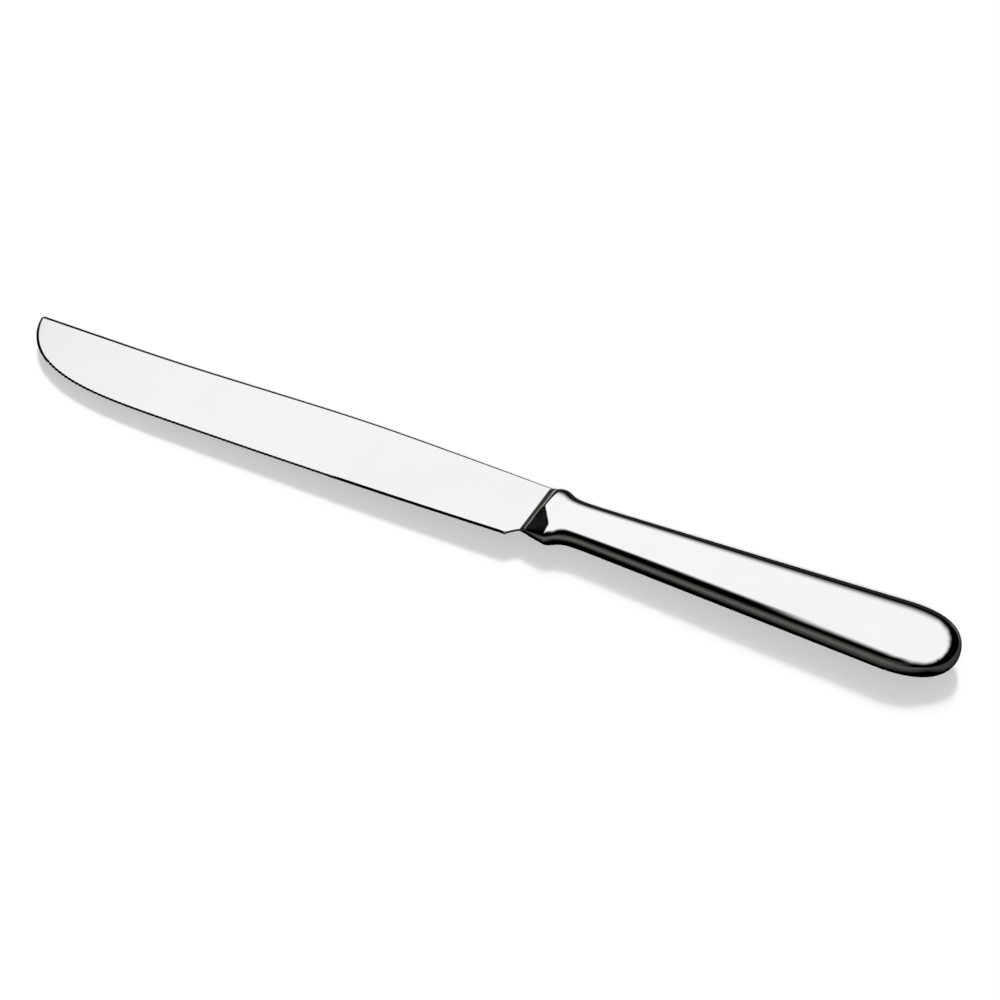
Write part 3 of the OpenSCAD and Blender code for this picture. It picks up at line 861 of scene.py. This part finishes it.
def make_card():
    card = floor_sheet("painted_reflection_card", CARD_HEIGHT)
    n = new_material("painted_reflection_card")
    at = n.add("ShaderNodeSeparateXYZ", {0: n.coords()}).outputs
    beyond_end = n.math("SUBTRACT", n.math("ABSOLUTE", at["X"]), KNIFE_HALF_LEN)
    beside = n.math("SUBTRACT", n.math("ABSOLUTE", at["Y"]), KNIFE_HALF_W)
    away = n.math("SUBTRACT", n.math("MAXIMUM", beyond_end, beside), CARD_DARK_REACH)
    reach = n.math("MAXIMUM", away, 0.0)
    level = n.math("DIVIDE", reach, n.math("ADD", reach, CARD_HALF_GLOW))
    front = n.span(at["Y"], 0.0, CARD_BACK_Y, 1.0, CARD_BACK)
    butt_side = n.span(at["X"], BUTT_SIDE_X, KNIFE_HALF_LEN)
    near_butt = n.span(at["X"], BUTT_NEAR_X, BUTT_FAR_X, 1.0, 0.0)
    side = n.math("MULTIPLY", n.math("MAXIMUM", front, butt_side), near_butt)
    strength = n.math("MULTIPLY", n.math("MULTIPLY", level, side), CARD_PAINTED_GLOW)
    # The emission is painted light, a painted reflection of the lit floor; it is zero next to the knife,
    # which is painted shade
    painted_glow = n.shader("ShaderNodeEmission", {"Color": CARD_GLOW_TINT, "Strength": strength})
    card.data.materials.append(n.surface(n.mixed(n.geometry("Backfacing"), painted_glow, n.clear())))
    only_in_reflections(card)


# Warm grey of the painted glow on the dark sheets, which paints grey reflections into the metal
PAINTED_GLOW_TINT = (1.0, 0.96, 0.88, 1)
# Count of a ray's turns that parts the first from the later ones
FIRST_TURN = 1.5


# Sheet whose cover and glow are given at each point, which only reflections from its front see: it paints
# dark reflections and a painted glow into the metal
# The floor's coat does not reflect it: light from the coat has come through the clear floor
def dark_sheet(name, points, faces, cover, glow):
    sheet = stage_mesh(name, points, faces)
    for key, values in (("cover", cover), ("glow", glow)):
        sheet.data.attributes.new(key, "FLOAT", "POINT").data.foreach_set("value", values)
    n = new_material(name)
    covered = n.add("ShaderNodeAttribute", attribute_name="cover").outputs["Fac"]
    painted_glow = n.add("ShaderNodeAttribute", attribute_name="glow").outputs["Fac"]
    front = n.math("SUBTRACT", 1.0, n.geometry("Backfacing"))
    # Painted glow: an emission that is no lamp, seen only as painted grey reflections in the metal
    painted_reflection_shader = n.shader("ShaderNodeEmission", {"Color": PAINTED_GLOW_TINT, "Strength": painted_glow})
    path = n.add("ShaderNodeLightPath").outputs
    through_floor = n.math("GREATER_THAN", path["Transparent Depth"], FIRST_TURN)
    first_mirror = n.math("LESS_THAN", path["Glossy Depth"], FIRST_TURN)
    not_in_coat = n.math("SUBTRACT", 1.0, n.math("MULTIPLY", through_floor, first_mirror))
    seen = n.math("MULTIPLY", n.math("MULTIPLY", covered, front), not_in_coat)
    sheet.data.materials.append(n.surface(n.mixed(seen, n.clear(), painted_reflection_shader)))
    only_in_reflections(sheet)


# Faces of a grid of points, row above row, with their fronts towards the knife
def grid_faces(rows, columns, closed):
    faces = []
    for i in range(rows):
        low, high = i * columns, (i + 1) * columns
        for j in range(columns if closed else columns - 1):
            k = (j + 1) % columns
            faces.append((high + j, high + k, low + k, low + j))
    return faces


# Height and softness of a rim at a place along it
def rim_at(rim, place):
    for a, b in zip(rim, rim[1:]):
        if place <= b[0]:
            u = ease((place - a[0]) / (b[0] - a[0]))
            return mix(a[1], b[1], u), mix(a[2], b[2], u)


def rim_cover(rim, place, height):
    middle, soft = rim_at(rim, place)
    return 1 - ease((height - middle) / (2 * soft) + 0.5)


# Dark wall standing close in front of the knife, in millimetres; only reflections see it, so it paints dark
# reflections and a low band of painted glow into the metal
# Each entry of its rim is a place along the wall, the height of the rim there and its softness
WALL_Y = -45
WALL_TOP = 180
WALL_RIM = (
    (-230, 130, 30), (-60, 130, 30), (-12, 64, 18), (14, 86, 26), (42, 88, 28), (60, 67, 26),
    (82, 62, 20), (100, 49.5, 13), (122, 30, 15), (142, 23, 14), (160, 26.5, 18), (220, 53, 34),
)
WALL_GLOW = 0.14
WALL_GLOW_TOP = 27
WALL_GLOW_FROM = -25
WALL_GLOW_TO = 122
WALL_GLOW_FADE = 26
WALL_ROWS = 90
WALL_COLUMNS = 181


# Painted glow of the wall, low and between two places along it: a painted grey reflection along the handle
def wall_glow(x, z):
    from_left = clamp((x - WALL_GLOW_FROM) / WALL_GLOW_FADE)
    from_right = clamp((WALL_GLOW_TO - x) / WALL_GLOW_FADE)
    return WALL_GLOW * from_left * from_right * clamp(1 - z / WALL_GLOW_TOP)


def make_wall():
    points, cover, glow = [], [], []
    for i in range(WALL_ROWS + 1):
        z = WALL_TOP * i / WALL_ROWS
        for j in range(WALL_COLUMNS):
            x = mix(WALL_RIM[0][0], WALL_RIM[-1][0], j / (WALL_COLUMNS - 1))
            points.append((MM * x, MM * WALL_Y, MM * z))
            cover.append(rim_cover(WALL_RIM, x, z))
            glow.append(wall_glow(x, z))
    dark_sheet("painted_reflection_wall", points, grid_faces(WALL_ROWS, WALL_COLUMNS, False), cover, glow)


# Dark tent round the table, open above and where the wall stands, which only reflections see and which paints
# dark reflections into the metal: its radius in metres, the rest in degrees
# Each entry of its rim is a direction round the knife from the front, the height of the rim and its softness
TENT_R = 3.0
TENT_OPEN = 66
TENT_LOW = -5
TENT_HIGH = 89
TENT_RIM = (
    (-180, 27, 12), (-168, 18, 11), (-155, 15, 11), (-140, 34, 11), (-120, 52, 10),
    (-95, 58, 8), (-66, 57, 8), (66, 18, 14), (75, 22, 11), (95, 30, 10),
    (115, 36, 10), (140, 39, 10), (160, 36, 10), (180, 27, 12),
)
# Patches of painted glow on the tent, painted grey reflections in the metal: direction, height, their
# half-sizes and level
TENT_PATCHES = ((-131, 5, 16, 16, 0.05), (-100, 35, 36, 16, 0.0115))
TENT_ROWS = 120
TENT_TURNS = 180


def tent_point(turn, height):
    a, e = math.radians(turn), math.radians(height)
    return (TENT_R * math.cos(e) * math.sin(a), -TENT_R * math.cos(e) * math.cos(a), TENT_R * math.sin(e))


def tent_glow(turn, height):
    level = 0
    for at, middle, half_wide, half_high, strength in TENT_PATCHES:
        level += strength * math.exp(-((turn - at) / half_wide) ** 2 - ((height - middle) / half_high) ** 2)
    return level


def make_tent():
    points, cover, glow = [], [], []
    for i in range(TENT_ROWS + 1):
        height = mix(TENT_LOW, TENT_HIGH, i / TENT_ROWS)
        for j in range(TENT_TURNS):
            turn = -180 + 360 * j / TENT_TURNS
            points.append(tent_point(turn, height))
            cover.append(0 if abs(turn) < TENT_OPEN else rim_cover(TENT_RIM, turn, height))
            glow.append(tent_glow(turn, height))
    dark_sheet("painted_reflection_tent", points, grid_faces(TENT_ROWS, TENT_TURNS, True), cover, glow)


# World: white to the camera and in reflections, a weak fill as light on the floor
WORLD_FILL = 0.15


def make_world():
    world = bpy.data.worlds.new("white_world")
    bpy.context.scene.world = world
    n = Nodes(world)
    path = n.add("ShaderNodeLightPath").outputs
    seen = n.math("MAXIMUM", path["Is Camera Ray"], path["Is Glossy Ray"])
    seen = n.math("MAXIMUM", seen, path["Is Transmission Ray"])
    level = n.span(seen, 0.0, 1.0, WORLD_FILL, 1.0, smooth=False)
    sky = n.shader("ShaderNodeBackground", {"Color": WHITE, "Strength": level})
    n.surface(sky, "ShaderNodeOutputWorld")


# One soft lamp, high on the camera's side
LAMP_FROM = Vector((0.34, -0.66, 0.67))
LAMP_SOFTNESS = math.radians(5)
LAMP_STRENGTH = 4.25


def make_lamp():
    data = bpy.data.lights.new("soft_lamp", "SUN")
    data.angle = LAMP_SOFTNESS
    data.energy = LAMP_STRENGTH
    lamp = bpy.data.objects.new("soft_lamp", data)
    lamp.location = LAMP_FROM
    lamp.rotation_euler = (-LAMP_FROM).to_track_quat("-Z", "Y").to_euler()
    lamp.visible_glossy = False
    lamp.visible_camera = False
    bpy.context.scene.collection.objects.link(lamp)


# Camera at the photograph's viewing angle
CAMERA_AZIMUTH = math.radians(27.72)
CAMERA_ELEVATION = math.radians(43.04)
CAMERA_DISTANCE = 1.3
CAMERA_TARGET = Vector((0.0042, 0.00347, 0.0))
CAMERA_LENS = 208.19
CAMERA_SENSOR_W = 36.0
CAMERA_CLIP_END = 50


def make_camera():
    towards_camera = Vector((
        math.sin(CAMERA_AZIMUTH) * math.cos(CAMERA_ELEVATION),
        -math.cos(CAMERA_AZIMUTH) * math.cos(CAMERA_ELEVATION),
        math.sin(CAMERA_ELEVATION),
    ))
    data = bpy.data.cameras.new("camera")
    data.sensor_fit = "HORIZONTAL"
    data.sensor_width = CAMERA_SENSOR_W
    data.lens = CAMERA_LENS
    data.clip_end = CAMERA_CLIP_END
    camera = bpy.data.objects.new("camera", data)
    camera.location = CAMERA_TARGET + CAMERA_DISTANCE * towards_camera
    camera.rotation_euler = (-towards_camera).to_track_quat("-Z", "Y").to_euler()
    bpy.context.scene.collection.objects.link(camera)
    bpy.context.scene.camera = camera


make_floor()
make_floor_coat()
make_card()
make_wall()
make_tent()
make_world()
make_lamp()
make_camera()
bpy.context.scene.view_settings.view_transform = "Standard"
